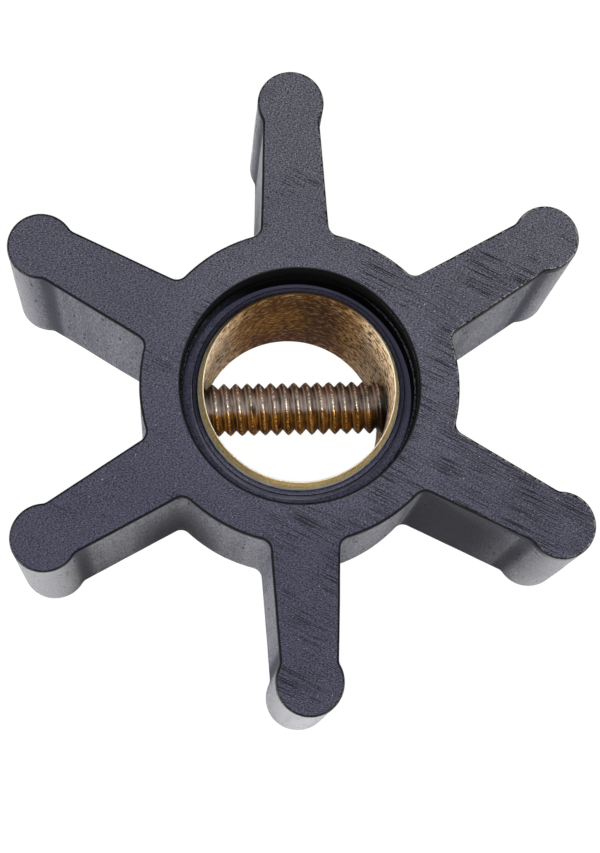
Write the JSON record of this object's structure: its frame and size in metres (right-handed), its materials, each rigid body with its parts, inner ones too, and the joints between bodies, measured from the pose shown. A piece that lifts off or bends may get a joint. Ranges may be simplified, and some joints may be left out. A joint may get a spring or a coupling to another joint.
{
  "type": "pump impeller",
  "caption": "Flexible rubber impeller for a sea-water pump: a thick hub with straight round-tipped vanes, a moulded-in bronze bush and a threaded drive screw across its bore.",
  "frame": {"origin": "on the axis, in the plane of the flat back face that the part rests on", "axes": "+Z along the axis towards the recessed front face, +Y along one vane, X along the drive screw"},
  "size_m": [0.0502, 0.0572, 0.0191],
  "materials": {
    "rubber": "nitrile rubber, end faces ground with fine scratches, sides matt from the mould",
    "bronze": "turned bronze, brown and pitted from sea water in the bore",
    "steel": "rolled thread, dark with brown rust, bright on the crests"
  },
  "bodies": {
    "root": {"impeller_body": "rubber", "bush": "bronze", "drive_screw": "steel"}
  },
  "joints": []
}
